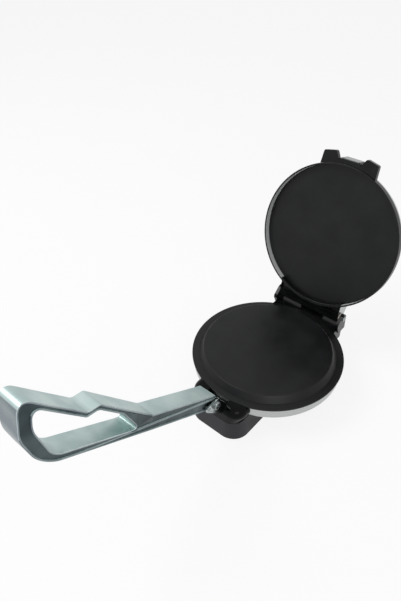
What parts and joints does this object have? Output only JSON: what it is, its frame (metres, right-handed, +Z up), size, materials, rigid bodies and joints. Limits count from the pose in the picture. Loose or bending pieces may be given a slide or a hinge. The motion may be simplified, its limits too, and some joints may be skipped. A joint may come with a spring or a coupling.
{
  "type": "electric roti maker",
  "caption": "Countertop flatbread press with two round heated plates, a hinged lid that opens past upright, and a long looped lever that swings over to press the lid shut.",
  "frame": {"origin": "on the table, under the common centre of the two round plates", "axes": "+Z up, -Y towards the lever at the front, +Y towards the lid hinge, X across the plates"},
  "size_m": [0.22, 0.5686, 0.301],
  "materials": {
    "nonstick": "satin black non-stick coating on cast aluminium",
    "pan_steel": "polished stainless sheet, fine circular brushing",
    "black_gloss": "glossy black heat-proof moulding",
    "black_matte": "satin dark moulding",
    "band_black": "satin black moulding",
    "cover_black": "black moulding",
    "lever_metal": "polished die casting, grey-green reflections",
    "yoke_steel": "bright plated sheet steel",
    "pin_steel": "turned steel",
    "screw_steel": "zinc-plated steel",
    "strip_steel": "polished stainless strip",
    "bush_nylon": "natural nylon",
    "pad_rubber": "black rubber",
    "heater_steel": "oxidised steel sheath",
    "reflector_steel": "aluminised sheet",
    "ceramic": "pale ceramic and resin",
    "lead_sleeve": "glass-fibre sleeving"
  },
  "bodies": {
    "base": {"lower_plate": "nonstick", "lower_pan": "pan_steel", "bottom_cover": "cover_black", "front_foot": "black_matte", "rear_foot": "black_matte", "front_cover": "black_gloss", "hinge_bracket": "black_gloss", "foot_pads": "pad_rubber", "lever_yoke": "yoke_steel", "pivot_pin": "pin_steel", "pivot_nut": "pin_steel", "stop_pin": "pin_steel", "hinge_pins": "pin_steel", "plate_screws": "screw_steel", "cover_screws": "screw_steel", "bracket_screws": "screw_steel", "yoke_screws": "screw_steel", "lower_reflector_screws": "screw_steel", "lower_element": "heater_steel", "lower_reflector": "reflector_steel", "thermostat": "ceramic", "thermal_fuse": "ceramic", "terminal_block": "ceramic", "base_leads": "lead_sleeve", "cord_inlet": "black_matte"},
    "lid": {"lid_shell": "pan_steel", "lid_band": "band_black", "upper_plate": "nonstick", "hinge_arm": "black_gloss", "front_lugs": "black_gloss", "press_strip": "strip_steel", "hinge_bushes": "bush_nylon", "arm_screws": "screw_steel", "lug_screws": "screw_steel", "upper_reflector_screws": "screw_steel", "upper_element": "heater_steel", "upper_reflector": "reflector_steel"},
    "lever": {"press_lever": "lever_metal", "lever_bushes": "bush_nylon"}
  },
  "joints": [
    {"name": "lid_hinge", "type": "hinge", "parent": "base", "child": "lid", "pos_m": [0, 0.1143, 0.0722], "axis": [1, 0, 0], "range_deg": [0, 106.3]},
    {"name": "lever_pivot", "type": "hinge", "parent": "base", "child": "lever", "pos_m": [0, -0.138, 0.073], "axis": [1, 0, 0], "range_deg": [-103, 0]}
  ]
}
